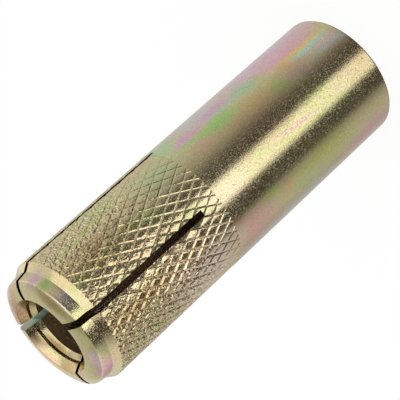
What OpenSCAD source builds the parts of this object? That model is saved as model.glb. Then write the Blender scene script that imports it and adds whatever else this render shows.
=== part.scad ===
// Drop-in anchor for an M12 bolt: a one-piece steel sleeve, knurled and split at one end and threaded
// at the other, with a tapered expander plug waiting inside. It stands on its threaded end, split end up.

/* [Sleeve] */
// Overall length of the sleeve
sleeve_length = 50; // [47:0.5:60]
// Outside diameter of the plain part
sleeve_d = 16; // [15.4:0.1:19]
// Chamfer on the outer edge of the threaded end
plain_edge = 0.3; // [0.1:0.05:0.6]

/* [Threaded end] */
// Wall diameter of the threaded hole, the tapping size of the thread
thread_bore_d = 10.2; // [9.6:0.1:10.6]
// Length of the threaded wall
thread_length = 20; // [15:0.5:22]
// Depth of the 45 degree lead-in at the mouth of the hole
lead_in = 1.1; // [0.4:0.1:1.4]

/* [Plug chamber and taper] */
// How much wider than the thread's wall the chamber is, on the radius
chamber_relief = 0.2; // [0.1:0.05:0.3]
// Length of the chamber between the thread and the taper
chamber_length = 7; // [5:0.5:8]
// Diameter at the narrow end of the tapered bore
taper_end_d = 8.2; // [7.2:0.1:8.6]

/* [Split end] */
// Diameter of the short straight wall inside the mouth
mouth_d = 9; // [8.8:0.1:9.6]
// Depth of the mouth, from the end face to the foot of that wall
mouth_depth = 1.35; // [1.2:0.05:2]
// How much the mouth flares out towards the end face, on the radius
mouth_flare = 0.55; // [0.2:0.05:0.8]
// Depth of that flare
flare_depth = 0.95; // [0.5:0.05:1.1]
// Depth of the sloping throat between the mouth and the tapered bore
throat_depth = 0.6; // [0.3:0.05:1]
// How far the neck is set in from the plain surface, on the radius
neck_step = 0.7; // [0.5:0.05:0.9]
// Length of the neck, from its foot at the shoulder to the tip
neck_length = 1.95; // [1.5:0.05:3]
// Length of the sloping shoulder between the knurl and the neck
shoulder_length = 0.95; // [0.5:0.05:1.5]
// How far the end face falls from the mouth to its rim
end_fall = 0.5; // [0.1:0.05:0.6]
// Radius of the rounded rim
rim_round = 0.3; // [0.2:0.05:0.6]

/* [Saw cuts] */
// Width of the cut that runs from side to side
side_cut_w = 0.6; // [0.4:0.05:1.2]
// Depth of the cut from side to side, from the tip
side_cut_depth = 22.9; // [16:0.1:24]
// Width of the cut that runs from front to back
front_cut_w = 0.8; // [0.4:0.05:1.2]
// Depth of the cut from front to back, from the tip
front_cut_depth = 19.7; // [16:0.1:24]
// How far the cut from front to back runs beside the axis
front_cut_offset = 1.3; // [0:0.1:2]

/* [Knurl] */
// Length of the knurled band, from the shoulder towards the threaded end
knurl_length = 19.4; // [12:0.1:21]
// Spacing of the grooves, measured round the sleeve
knurl_pitch = 1.25; // [1.1:0.01:1.8]
// Angle of the grooves to the axis
knurl_angle = 29; // [25:1:40]
// Depth of the grooves where the knurl is fully formed
knurl_depth = 0.15; // [0.1:0.01:0.3]
// Share of a diamond's width that its flat top takes up where the knurl is fully formed
knurl_land = 0.5; // [0.3:0.01:0.6]
// The same share at the end of the knurl where the grooves fade out
knurl_land_faded = 0.8; // [0.65:0.01:0.9]
// Length over which the grooves fade
knurl_fade = 8; // [1:0.5:12]
// How far the diamonds stay below the plain surface
knurl_drop = 0.03; // [0.02:0.01:0.1]

/* [Expander plug] */
// Clearance of the plug in the threaded hole, on the radius
plug_clearance = 0.15; // [0.05:0.05:0.3]
// Overall length of the plug
plug_length = 12; // [8:0.5:14]
// Length of the plug's tapered nose
plug_nose = 6; // [2:0.5:7]
// Chamfer on the plug's struck end
plug_edge = 0.4; // [0.2:0.1:0.8]
// Gap between the nose and the taper that it sits in, on the radius
seat_gap = 0.05; // [0.02:0.01:0.1]

/* [Hidden] */
$fn = 120;
sleeve_r = sleeve_d / 2;
neck_r = sleeve_r - neck_step;
thread_r = thread_bore_d / 2;
chamber_r = thread_r + chamber_relief;
taper_end_r = taper_end_d / 2;
mouth_r = mouth_d / 2;
plug_r = thread_r - plug_clearance;

// Heights above the threaded end
chamber_z = lead_in + thread_length;
taper_z = chamber_z + chamber_length;
mouth_z = sleeve_length - mouth_depth;
throat_z = mouth_z - throat_depth;
neck_z = sleeve_length - neck_length;
shoulder_z = neck_z - shoulder_length;
knurl_z = shoulder_z - knurl_length;
rim_z = sleeve_length - end_fall;

// The bore's taper, as radius lost for each millimetre of height, and the height where the nose begins
taper_slope = (chamber_r - taper_end_r) / (throat_z - taper_z);
nose_z = taper_z + (chamber_r - plug_r - seat_gap) / taper_slope;
nose_r = plug_r - plug_nose * taper_slope;

// How far hidden ends reach into the metal beside them, and how far a cutter passes the surface
bury = 0.3;
pass = 1;
rim_steps = 6;

// The knurl is a lattice: rows of groove crossings, each row half a groove round from the one before
knurl_starts = round(PI * sleeve_d / knurl_pitch);
knurl_step = 360 / knurl_starts;
half_pitch_z = PI * sleeve_d / knurl_starts / 2 / tan(knurl_angle);
knurl_layers = max(2, round(knurl_length / half_pitch_z));
layer_h = knurl_length / knurl_layers;
crest_r = sleeve_r - knurl_drop;
ring_r = (neck_r + chamber_r) / 2;

function row_z(row) = knurl_z + row * layer_h;
function row_shift(row) = (row % 2) / 2;
function formed(z) = min(1, max(0, (z - knurl_z) / knurl_fade));
function land_share(z) = knurl_land_faded + (knurl_land - knurl_land_faded) * formed(z);
function groove_depth(z) = knurl_depth * (1 - land_share(z)) / (1 - knurl_land);
function polar(r, angle, z) = [r * cos(angle), r * sin(angle), z];
function middle(col, row) = knurl_step * (col + row_shift(row) + 1 / 2);

// The five points that each diamond owns: its left groove crossing and the four corners of its flat top
function crossing(col, row) =
    polar(crest_r - groove_depth(row_z(row)), middle(col, row) - knurl_step / 2, row_z(row));
function flat_side(col, row, side) =
    polar(crest_r, middle(col, row) + side * land_share(row_z(row)) * knurl_step / 2, row_z(row));
function flat_tip(col, row, side) =
    polar(crest_r, middle(col, row), row_z(row) + side * land_share(row_z(row)) * layer_h);
function diamond_points(col, row) = [
    crossing(col, row),
    flat_side(col, row, -1),
    flat_side(col, row, 1),
    flat_tip(col, row, -1),
    flat_tip(col, row, 1)
];
function quad(a, b, c, d) = [[a, b, c], [a, c, d]];

// Sleeve without its knurl and saw cuts, turned about the axis
module sleeve_core() {
    rim = [for (step = [0 : rim_steps]) let (turn = 90 * step / rim_steps)
        [neck_r - rim_round + rim_round * cos(turn), rim_z - rim_round + rim_round * sin(turn)]];
    rotate_extrude()
        polygon(concat(
            [
                [thread_r + lead_in, 0],
                [sleeve_r - plain_edge, 0],
                [sleeve_r, plain_edge],
                [sleeve_r, knurl_z],
                [neck_r, knurl_z]
            ],
            rim,
            [
                [mouth_r + mouth_flare, sleeve_length],
                [mouth_r, sleeve_length - flare_depth],
                [mouth_r, mouth_z],
                [taper_end_r, throat_z],
                [chamber_r, taper_z],
                [chamber_r, chamber_z],
                [thread_r, chamber_z],
                [thread_r, lead_in]
            ]
        ));
}

// Knurled band with the shoulder at its end: a ring let into the core, its outside a lattice of diamonds
module knurl_band() {
    owned = ["crossing", "flat left", "flat right", "low tip", "high tip"];
    on_edge = ["crossing", "flat left", "flat right"];
    rim_count = len(on_edge) * knurl_starts;
    lattice = [for (row = [0 : knurl_layers], col = [0 : knurl_starts - 1]) each diamond_points(col, row)];

    // Place in the list of a point that a diamond owns, and of a point on a row's edge, counted round
    function own(col, row, which) =
        len(owned) * (row * knurl_starts + (col % knurl_starts)) + search([which], owned)[0];
    function edge(row, place) = own(floor(place / len(on_edge)), row, on_edge[place % len(on_edge)]);
    function facing(col, row) = col + row % 2;

    // An edge point of a row, moved to another height or to another radius and height
    function lowered(row, place, z) = let (point = lattice[edge(row, place)]) [point.x, point.y, z];
    function turned(row, place, r, z) = let (point = lattice[edge(row, place)])
        polar(r, atan2(point.y, point.x), z);

    shoulder_slope = (crest_r - neck_r) / shoulder_length;
    foot_z = neck_z + bury;
    foot_r = neck_r - bury * shoulder_slope;
    root_z = knurl_z - bury;

    buried = [for (place = [0 : rim_count - 1]) lowered(0, place, root_z)];
    foot = [for (place = [0 : rim_count - 1]) turned(knurl_layers, place, foot_r, foot_z)];
    inner_low = [for (place = [0 : rim_count - 1]) turned(0, place, ring_r, root_z)];
    inner_high = [for (place = [0 : rim_count - 1]) turned(0, place, ring_r, foot_z)];

    upper_halves = [for (row = [0 : knurl_layers - 1], col = [0 : knurl_starts - 1])
        let (above = own(facing(col, row), row + 1, "crossing"),
             left = own(col, row, "crossing"),
             right = own(col + 1, row, "crossing"),
             a = own(col, row, "flat left"),
             b = own(col, row, "flat right"),
             tip = own(col, row, "high tip"))
        each concat([[a, tip, b]], quad(left, above, tip, a), quad(above, right, b, tip))];
    lower_halves = [for (row = [1 : knurl_layers], col = [0 : knurl_starts - 1])
        let (below = own(facing(col, row), row - 1, "crossing"),
             left = own(col, row, "crossing"),
             right = own(col + 1, row, "crossing"),
             a = own(col, row, "flat left"),
             b = own(col, row, "flat right"),
             tip = own(col, row, "low tip"))
        each concat([[a, b, tip]], quad(left, a, tip, below), quad(right, below, tip, b))];

    bottom = len(lattice);
    top = bottom + rim_count;
    in_low = top + rim_count;
    in_high = in_low + rim_count;
    walls = [for (place = [0 : rim_count - 1])
        let (next = (place + 1) % rim_count)
        each concat(
            quad(edge(0, place), edge(0, next), bottom + next, bottom + place),
            quad(top + place, top + next, edge(knurl_layers, next), edge(knurl_layers, place)),
            quad(bottom + place, bottom + next, in_low + next, in_low + place),
            quad(top + next, top + place, in_high + place, in_high + next),
            quad(in_high + next, in_high + place, in_low + place, in_low + next)
        )];

    polyhedron(
        points = concat(lattice, buried, foot, inner_low, inner_high),
        faces = concat(upper_halves, lower_halves, walls)
    );
}

// The two saw cuts that split the end into four segments
module saw_cuts() {
    span = sleeve_d + 2 * pass;
    translate([-span / 2, -side_cut_w / 2, sleeve_length - side_cut_depth])
        cube([span, side_cut_w, side_cut_depth + pass]);
    translate([front_cut_offset - front_cut_w / 2, -span / 2, sleeve_length - front_cut_depth])
        cube([front_cut_w, span, front_cut_depth + pass]);
}

module anchor_sleeve() {
    color("goldenrod")
        difference() {
            union() {
                sleeve_core();
                knurl_band();
            }
            saw_cuts();
        }
}

// Tapered plug, its nose in the start of the sleeve's taper
module expander_plug() {
    color("silver")
        translate([0, 0, nose_z + plug_nose - plug_length])
            rotate_extrude()
                polygon([
                    [0, 0],
                    [plug_r - plug_edge, 0],
                    [plug_r, plug_edge],
                    [plug_r, plug_length - plug_nose],
                    [nose_r, plug_length],
                    [0, plug_length]
                ]);
}

anchor_sleeve();
expander_plug();
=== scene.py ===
# %% [markdown]
# # A drop-in anchor
# A drop-in anchor is a short steel sleeve that is pushed into a hole in concrete. One end is threaded for
# a bolt. The other end is split by two saw cuts and knurled, and a tapered plug inside it is driven up with
# a setting tool until the four segments press into the wall of the hole.
# The CAD model gives the true sizes. This lesson gives each surface its finish, and makes again in a mesh
# what the CAD keeps simple: the rolled knurl, the thread and the rounded edges.

import math

import bmesh
import bpy
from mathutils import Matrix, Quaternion, Vector


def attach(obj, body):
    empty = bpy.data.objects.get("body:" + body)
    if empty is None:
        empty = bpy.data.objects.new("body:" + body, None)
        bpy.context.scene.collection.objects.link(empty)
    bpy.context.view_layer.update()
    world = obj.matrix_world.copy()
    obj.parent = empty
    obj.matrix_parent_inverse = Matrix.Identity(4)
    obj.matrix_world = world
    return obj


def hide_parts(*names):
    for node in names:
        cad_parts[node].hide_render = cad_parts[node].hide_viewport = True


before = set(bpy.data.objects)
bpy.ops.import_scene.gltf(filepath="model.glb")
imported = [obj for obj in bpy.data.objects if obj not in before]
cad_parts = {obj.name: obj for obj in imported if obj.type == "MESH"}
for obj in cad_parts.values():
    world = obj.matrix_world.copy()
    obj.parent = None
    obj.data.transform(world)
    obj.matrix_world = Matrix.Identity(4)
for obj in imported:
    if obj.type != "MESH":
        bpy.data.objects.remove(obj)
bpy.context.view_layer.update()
MM = 0.001

# %% [markdown]
# ## Sizes
# Every piece sits in the frame of the CAD model, threaded end down on the floor and the Z axis up through
# the bore. The lengths are those of the part's source, in millimetres, with a few more for softened edges,
# so a shape that is made here fits its CAD solid without any moving or scaling.

# %% Sizes of the sleeve, in mm
SLEEVE_LENGTH = 50.0
SLEEVE_R = 8.0
PLAIN_EDGE = 0.3
NECK_R = 7.3
NECK_STRAIGHT = 0.15
NECK_TIP_R = 7.15
NECK_Z = 48.05
SHOULDER_Z = 47.1
KNURL_Z = 27.7
KNURL_R = 7.97
RIM_ROUND = 0.3
RIM_Z = 49.5
THREAD_R = 5.1
LEAD_IN = 1.1
CHAMBER_Z = 21.1
CHAMBER_R = 5.3
TAPER_Z = 28.1
TAPER_END_R = 4.1
THROAT_Z = 48.05
MOUTH_R = 4.5
MOUTH_Z = 48.65
MOUTH_FLARE = 0.55
FLARE_DEPTH = 0.95
SIDE_CUT_W = 0.6
SIDE_CUT_DEPTH = 22.9
FRONT_CUT_W = 0.8
FRONT_CUT_DEPTH = 19.7
FRONT_CUT_OFFSET = 1.3
print("knurled band:", round(SHOULDER_Z - KNURL_Z, 2), "mm long")
print("cuts end at", SLEEVE_LENGTH - SIDE_CUT_DEPTH, "and", SLEEVE_LENGTH - FRONT_CUT_DEPTH, "mm")

# %% [markdown]
# ## One helper for nodes
# Finishes, light and patterns are all trees of nodes. One function adds a node, sets its properties, and
# fills each socket with a value or with a link from another node. A colour is written as the hex value
# that a paint program shows, and turned to the linear numbers that a renderer works in.


# %% Node and colour helpers
def add_node(tree, kind, sockets=None, stops=None, **settings):
    """Adds a node: settings are its properties, sockets its inputs (a value or a link), stops a ramp."""
    node = tree.nodes.new(kind)
    for name, value in settings.items():
        setattr(node, name, value)
    for socket, value in (sockets or {}).items():
        if isinstance(value, bpy.types.NodeSocket):
            tree.links.new(value, node.inputs[socket])
        else:
            node.inputs[socket].default_value = value
    if stops:
        elements = node.color_ramp.elements
        while len(elements) < len(stops):
            elements.new(1.0)
        for element, (position, colour) in zip(elements, stops):
            element.position = position
            element.color = colour
    return node


def linear(hex_value):
    """An sRGB hex colour as linear red, green, blue and alpha."""
    channels = [int(hex_value[place:place + 2], 16) / 255 for place in (1, 3, 5)]
    return [c / 12.92 if c <= 0.04045 else ((c + 0.055) / 1.055) ** 2.4 for c in channels] + [1.0]


def per_metre(size_mm):
    """The scale that gives a pattern features of that size."""
    return 1.0 / (size_mm * MM)


print("white in linear numbers:", linear("#ffffff"))

# %% [markdown]
# ## Yellow passivated zinc
# The sleeve is zinc plated steel, dipped in a yellow passivation. That dip leaves a film thinner than a
# wavelength of light over the zinc. Where the film is even the metal looks pale gold, and where it ran off
# thicker or thinner the colours of an oil slick show: rose, lilac and green in soft streaks along the
# sleeve. The zinc under it is slightly grainy, which breaks up a reflection into fine specks.
# The streaks could be a thin film in the shader, but its colours are hard to place, so the film is painted:
# a stretched noise chooses a colour from a ramp, and soft patches put the strong colours where they lie on
# this sleeve. Other patches are painted light: painted highlights on the bright line along the sleeve, on
# the knurl beside it, on the neck's rim and on the mouth wall, a painted reflection that makes the plain end
# paler, and painted shade on the two dark bands, on the end face and in the mouth. Masks by place give the
# bore and the saw cuts painted shade, and the grooves of the knurl a browner film that is also painted
# shade.

# %% The colours of the film, and of painted highlight and shade
FILM_RAMP = [
    (0.00, "#dabd90"),
    (0.36, "#e2cea0"),
    (0.50, "#e4d6a8"),
    (0.58, "#dcda9c"),
    (0.68, "#eacbb2"),
    (0.80, "#e2c6cc"),
    (1.00, "#cbd6ae"),
]
# Name, angle round the sleeve in degrees, radius and height, half width and half length in mm, colour,
# strength
FILM_LIGHT_AND_SHADE_PATCHES = [
    ("gold_flank", 317.0, 8.0, 15.5, 2.0, 7.0, "#e0c28e", 0.85),
    ("lawn_flank", 329.0, 8.0, 21.0, 1.5, 5.5, "#cfd498", 0.80),
    ("sage_flank", 340.0, 8.0, 14.0, 1.7, 2.8, "#b9d9a9", 0.95),
    ("moss_spot", 316.0, 8.0, 11.5, 1.1, 1.6, "#c2d68c", 0.75),
    ("green_tongue", 328.0, 8.0, 20.3, 1.0, 3.0, "#b4dc86", 0.95),
    ("green_tail", 333.0, 8.0, 24.5, 0.5, 2.6, "#b8dc98", 0.80),
    ("green_knurl", 330.0, 8.0, 30.5, 2.4, 4.0, "#c2d6a2", 0.60),
    ("grey_edge", 357.0, 8.0, 20.5, 2.4, 4.5, "#e0dcdc", 0.80),
    ("green_edge", 351.0, 8.0, 26.6, 2.2, 1.9, "#c4e6ae", 0.95),
    ("rose_spot", 321.0, 8.0, 23.8, 1.0, 1.8, "#eec2ac", 0.75),
    ("rose_flank", 341.0, 8.0, 6.5, 1.9, 6.0, "#f2bcc4", 0.90),
    ("magenta_flank", 355.0, 8.0, 12.0, 1.5, 2.0, "#f6bcd8", 0.85),
    ("lilac_flank", 339.5, 8.0, 24.0, 0.9, 2.6, "#eab8d0", 0.95),
    ("lilac_streak", 344.0, 8.0, 18.8, 0.9, 3.0, "#e6bcd6", 0.90),
    ("cyan_fringe", 337.0, 8.0, 18.0, 0.5, 3.5, "#c0dcc4", 0.70),
    ("pale_flank", 359.0, 8.0, 9.0, 2.6, 10.0, "#f2cfdc", 0.85),
    ("mauve_flank", 316.0, 8.0, 8.8, 1.3, 1.6, "#dcc2b2", 0.80),
    ("amber_flank", 326.0, 8.0, 8.3, 1.3, 1.8, "#e8c48c", 0.80),
    # The grey and the cream streak are film colour made paler: a painted reflection that lightens the plain
    # end
    ("grey_streak_and_painted_reflection", 313.0, 8.0, 2.6, 0.75, 3.4, "#f2f6f0", 0.95),
    ("cream_streak_and_painted_reflection", 319.5, 8.0, 2.6, 0.55, 3.4, "#fbe4d4", 0.90),
    ("cyan_streak", 324.5, 8.0, 4.4, 0.50, 3.6, "#d6ece8", 0.90),
    ("lime_streak", 327.5, 8.0, 4.5, 0.40, 3.6, "#e2f2b4", 0.90),
    ("orange_streak", 330.5, 8.0, 5.2, 0.45, 4.6, "#fbd894", 0.90),
    ("olive_flank", 246.0, 8.0, 12.5, 2.0, 6.5, "#d8d684", 0.85),
    ("meadow_flank", 230.0, 8.0, 14.5, 2.0, 2.8, "#d2d8aa", 0.60),
    ("lime_flank", 251.0, 8.0, 21.5, 0.65, 1.7, "#cce07c", 0.90),
    ("tan_flank", 245.0, 8.0, 19.0, 1.2, 1.4, "#ecc898", 0.70),
    ("pink_flank", 236.0, 8.0, 24.5, 3.0, 3.6, "#f2c2b2", 0.90),
    ("red_spot", 253.0, 8.0, 27.0, 0.6, 0.9, "#f0ac94", 0.75),
    ("ash_flank", 213.0, 8.0, 18.0, 1.5, 10.0, "#e4d8d4", 0.75),
    ("dusky_flank", 224.0, 8.0, 4.5, 1.6, 5.5, "#f4c4c2", 0.85),
    ("pale_knurl", 236.0, 8.0, 33.0, 4.5, 6.0, "#fde6d0", 0.90),
    # Painted shade: a browner, darker patch on the dark reflection band on one side of the lamp's line
    ("umber_band_painted_shade", 300.0, 8.0, 17.5, 2.0, 7.5, "#d8b896", 0.80),
    ("tan_band", 303.0, 8.0, 4.0, 1.7, 5.0, "#e4caa4", 0.80),
    # Painted shade: a browner, darker patch on the dark reflection band on the other side of the lamp's line
    ("umber_edge_painted_shade", 264.0, 8.0, 23.0, 1.0, 4.5, "#d0b090", 0.80),
    # A painted highlight: pale cream laid on the bright line that the lamp makes
    ("cream_strip_painted_highlight", 282.0, 8.0, 26.5, 2.6, 5.0, "#f4e6bc", 0.85),
    ("amber_knurl", 262.0, 8.0, 34.5, 1.5, 5.5, "#ecd2a6", 0.60),
    # The next two are painted highlights: pale diamonds on both sides of the lamp's line, where the knurl
    # glints
    ("cream_knurl_painted_highlight", 293.5, 8.0, 40.0, 1.1, 8.0, "#f6dcb2", 0.85),
    ("white_knurl_painted_highlight", 274.5, 8.0, 40.0, 0.75, 7.5, "#ffeabe", 0.95),
    ("tan_knurl", 311.0, 8.0, 42.5, 2.4, 5.5, "#c9b27c", 0.70),
    ("brown_knurl", 260.0, 8.0, 43.0, 1.2, 5.0, "#c8ac78", 0.65),
    ("green_neck", 327.0, 7.3, 48.8, 0.95, 1.3, "#a2be74", 0.95),
    ("lilac_neck", 339.0, 7.3, 48.8, 0.9, 1.3, "#d4b2bc", 0.95),
    # The next two are painted highlights: near white on the neck and its rim, where the soft lamp above
    # glints
    ("pale_neck_painted_highlight", 303.0, 7.25, 48.7, 1.4, 1.0, "#fff0dc", 0.90),
    ("white_rim_painted_highlight", 303.0, 7.15, 49.5, 2.2, 0.3, "#fff6e6", 0.90),
    ("olive_neck", 245.0, 7.2, 49.2, 1.3, 1.2, "#d9dc9a", 0.85),
    ("rose_neck", 221.0, 7.3, 48.9, 2.6, 1.4, "#eebabe", 0.95),
    ("bronze_face", 52.0, 5.8, 49.8, 5.0, 2.6, "#b08660", 0.95),
    # Painted shade: darker olive on the end face, where it mirrors the dark room
    ("olive_face_painted_shade", 309.0, 6.5, 49.8, 3.0, 0.9, "#ac9669", 0.90),
    ("lime_face", 262.0, 6.8, 49.8, 1.2, 0.8, "#f0f0a4", 0.90),
    ("lilac_face", 240.0, 6.7, 49.8, 1.4, 0.8, "#ffdee0", 0.95),
    # Painted shade: dark brown on the mouth wall where it mirrors the dark bore, and dull tan deeper in the
    # mouth
    ("brown_mouth_painted_shade", 98.0, 5.0, 49.4, 1.3, 0.8, "#5e422a", 0.90),
    ("tan_mouth_painted_shade", 125.0, 4.4, 48.5, 4.0, 0.6, "#96784e", 0.90),
    # Rose film with a painted highlight: pale rose where the mouth wall glints
    ("rose_ring_and_painted_highlight", 122.0, 5.6, 49.7, 2.4, 1.3, "#ecc4a2", 0.85),
    ("gold_ring", 154.0, 5.9, 49.7, 2.6, 1.4, "#dcb87c", 0.85),
    ("brown_ring", 112.0, 6.8, 49.6, 3.6, 0.5, "#b8926a", 0.85),
]
# Painted shade for the bore and the walls of the saw cuts, and teal film for the far end of the front cut
BORE_SHADE = "#9c8464"
CUT_SHADE = "#6b5238"
TEAL_FILM = "#9ad2b8"
# A browner film at the bottoms of the knurl's grooves, which is also painted shade
GROOVE_FILM_AND_SHADE = "#c08f62"
print(len(FILM_LIGHT_AND_SHADE_PATCHES), "patches of strong colour")


# %% Streaks of the film
FILM_WIDTH = 5.0
FILM_LENGTH = 16.0


def streaked_film(tree, place):
    """The noise of the streaks, stretched along the sleeve, and the colour that it chooses."""
    stretched = add_node(
        tree, "ShaderNodeMapping",
        {"Vector": place, "Scale": (per_metre(FILM_WIDTH), per_metre(FILM_WIDTH), per_metre(FILM_LENGTH))})
    streaks = add_node(
        tree, "ShaderNodeTexNoise",
        {"Vector": stretched.outputs[0], "Scale": 1.0, "Detail": 3.0, "Roughness": 0.55,
         "Distortion": 0.6}).outputs["Fac"]
    film = add_node(
        tree, "ShaderNodeValToRGB", {"Fac": streaks},
        stops=[(position, linear(colour)) for position, colour in FILM_RAMP]).outputs["Color"]
    return streaks, film


print("streaks of", FILM_WIDTH, "by", FILM_LENGTH, "mm")


# %% Patches of strong colour, and of painted highlight and shade
RAGGED_SIZE = 2.5
RAGGED = (0.7, 0.7, 0.7)
PATCH_CORE = 0.15
PATCH_RIM = 1.4


def patched_film_light_and_shade(tree, film, place):
    """The film with each patch laid over it, some of them painted highlight and shade: full in its core,
    gone at its rim, with a ragged edge.
    """
    ragged = add_node(
        tree, "ShaderNodeTexNoise",
        {"Vector": place, "Scale": per_metre(RAGGED_SIZE), "Detail": 2.0, "Roughness": 0.6}).outputs["Color"]
    sway = add_node(
        tree, "ShaderNodeVectorMath", {0: ragged, 1: (-0.5, -0.5, -0.5)}, operation="ADD").outputs[0]
    for name, angle, radius, height, half_width, half_length, colour, strength in FILM_LIGHT_AND_SHADE_PATCHES:
        turn = math.radians(angle)
        centre = Vector((radius * math.cos(turn), radius * math.sin(turn), height)) * MM
        inside = add_node(
            tree, "ShaderNodeMapping",
            {"Vector": place, "Location": centre, "Rotation": (0.0, 0.0, turn),
             "Scale": (half_length * MM, half_width * MM, half_length * MM)},
            vector_type="TEXTURE", label=name).outputs[0]
        inside = add_node(
            tree, "ShaderNodeVectorMath", {0: sway, 1: RAGGED, 2: inside},
            operation="MULTIPLY_ADD").outputs[0]
        reach = add_node(tree, "ShaderNodeVectorMath", {0: inside}, operation="LENGTH").outputs["Value"]
        cover = add_node(
            tree, "ShaderNodeMapRange",
            {"Value": reach, "From Min": PATCH_CORE, "From Max": PATCH_RIM, "To Min": strength,
             "To Max": 0.0}, interpolation_type="SMOOTHSTEP").outputs[0]
        film = add_node(
            tree, "ShaderNodeMix", {0: cover, 6: film, 7: linear(colour)}, data_type="RGBA").outputs[2]
    return film


print("patches end at", PATCH_RIM, "times their half width and half length")


# %% Film and painted shade in the openings
SKIN = 0.02
TEAL_FROM_Y = 3.5
TEAL_TO_Y = 5.0
TEAL_FROM_Z = 44.0
TEAL_TO_Z = 47.0


def in_saw_cut(tree, across, tall, middle, width, depth):
    """1 on the walls of a saw cut, from the place across the blade and the height, and 0 elsewhere."""
    aside = add_node(tree, "ShaderNodeMath", {0: across, 1: middle * MM}, operation="SUBTRACT").outputs[0]
    aside = add_node(tree, "ShaderNodeMath", {0: aside}, operation="ABSOLUTE").outputs[0]
    between_walls = add_node(
        tree, "ShaderNodeMath", {0: aside, 1: (width / 2 + SKIN) * MM}, operation="LESS_THAN").outputs[0]
    above_end = add_node(
        tree, "ShaderNodeMath", {0: tall, 1: (SLEEVE_LENGTH - depth - SKIN) * MM},
        operation="GREATER_THAN").outputs[0]
    return add_node(
        tree, "ShaderNodeMath", {0: between_walls, 1: above_end}, operation="MULTIPLY").outputs[0]


def film_and_shade_in_openings(tree, film, parts, in_bore):
    """Painted shade in the bore and the saw cuts, and teal film at the far end of the front cut, over the
    film.
    """
    in_front_cut = in_saw_cut(tree, parts["X"], parts["Z"], FRONT_CUT_OFFSET, FRONT_CUT_W, FRONT_CUT_DEPTH)
    in_side_cut = in_saw_cut(tree, parts["Y"], parts["Z"], 0.0, SIDE_CUT_W, SIDE_CUT_DEPTH)
    in_cut = add_node(
        tree, "ShaderNodeMath", {0: in_front_cut, 1: in_side_cut}, operation="MAXIMUM").outputs[0]
    far_end = add_node(
        tree, "ShaderNodeMapRange",
        {"Value": parts["Y"], "From Min": TEAL_FROM_Y * MM, "From Max": TEAL_TO_Y * MM,
         "To Max": 0.9}).outputs[0]
    near_tip = add_node(
        tree, "ShaderNodeMapRange",
        {"Value": parts["Z"], "From Min": TEAL_FROM_Z * MM, "From Max": TEAL_TO_Z * MM}).outputs[0]
    teal = add_node(tree, "ShaderNodeMath", {0: far_end, 1: near_tip}, operation="MULTIPLY").outputs[0]
    teal = add_node(tree, "ShaderNodeMath", {0: teal, 1: in_front_cut}, operation="MULTIPLY").outputs[0]
    # Dull brown painted shade in the bore, darker painted shade on the saw cut walls, then the teal film
    for cover, colour in ((in_bore, BORE_SHADE), (in_cut, CUT_SHADE), (teal, TEAL_FILM)):
        film = add_node(
            tree, "ShaderNodeMix", {0: cover, 6: film, 7: linear(colour)}, data_type="RGBA").outputs[2]
    return film


print("teal from", TEAL_FROM_Z, "mm up in the front cut")


# %% Dull grains, and metal churned by the knurling wheel
SPECKS = 0.13
BORE_DULLNESS = 0.4
CHURN = 0.38
CHURN_RISE = 14.0
CHURN_MOST = 4.0
CLEAN_SIDE = math.radians(283.0)


def plating_dullness(tree, place, streaks, in_bore):
    """Roughness: single grains of zinc are duller than the rest, so they light up in a dark reflection."""
    spots = add_node(
        tree, "ShaderNodeTexNoise",
        {"Vector": place, "Scale": per_metre(SPECKS), "Detail": 1.0, "Roughness": 0.6}).outputs["Fac"]
    spots = add_node(
        tree, "ShaderNodeMapRange",
        {"Value": spots, "From Min": 0.54, "From Max": 0.64, "To Min": 0.08, "To Max": 0.5}).outputs[0]
    dullness = add_node(
        tree, "ShaderNodeMapRange",
        {"Value": streaks, "From Min": 0.3, "From Max": 0.7, "To Min": 0.0, "To Max": 0.03}).outputs[0]
    dullness = add_node(tree, "ShaderNodeMath", {0: dullness, 1: spots}, operation="ADD").outputs[0]
    return add_node(
        tree, "ShaderNodeMath", {0: in_bore, 1: BORE_DULLNESS, 2: dullness},
        operation="MULTIPLY_ADD").outputs[0]


def churned_metal(tree, place, tall, level, in_band):
    """Height of the churned metal: it grows along the knurl, least beside the front cut and at the back."""
    churned = add_node(
        tree, "ShaderNodeTexNoise",
        {"Vector": place, "Scale": per_metre(CHURN), "Detail": 1.0, "Roughness": 0.6}).outputs["Fac"]
    worked = add_node(
        tree, "ShaderNodeMapRange",
        {"Value": tall, "From Min": KNURL_Z * MM, "From Max": (KNURL_Z + CHURN_RISE) * MM, "To Min": 0.0,
         "To Max": CHURN_MOST}).outputs[0]
    clean = Vector((math.cos(CLEAN_SIDE), math.sin(CLEAN_SIDE), 0.0)) / (SLEEVE_R * MM)
    facing = add_node(
        tree, "ShaderNodeVectorMath", {0: level, 1: clean}, operation="DOT_PRODUCT").outputs["Value"]
    off_clean_side = add_node(
        tree, "ShaderNodeMapRange",
        {"Value": facing, "From Min": 0.55, "From Max": 0.99, "To Min": 6.0, "To Max": 1.3}).outputs[0]
    at_back = add_node(
        tree, "ShaderNodeMapRange",
        {"Value": facing, "From Min": -0.6, "From Max": -0.1, "To Min": 0.3, "To Max": 1.0}).outputs[0]
    for share in (in_band, off_clean_side, at_back):
        worked = add_node(tree, "ShaderNodeMath", {0: worked, 1: share}, operation="MULTIPLY").outputs[0]
    return add_node(tree, "ShaderNodeMath", {0: churned, 1: worked}, operation="MULTIPLY").outputs[0]


print("dull grains of", SPECKS, "mm, churned metal of", CHURN, "mm")


# %% Yellow passivated zinc, as a material
BORE_WALL_R = 6.5
THROAT_EDGE = 0.1
GROOVE_LOW_R = 7.82
GROOVE_HIGH_R = 7.90
GRAIN = 0.16
RELIEF = 0.014


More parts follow.
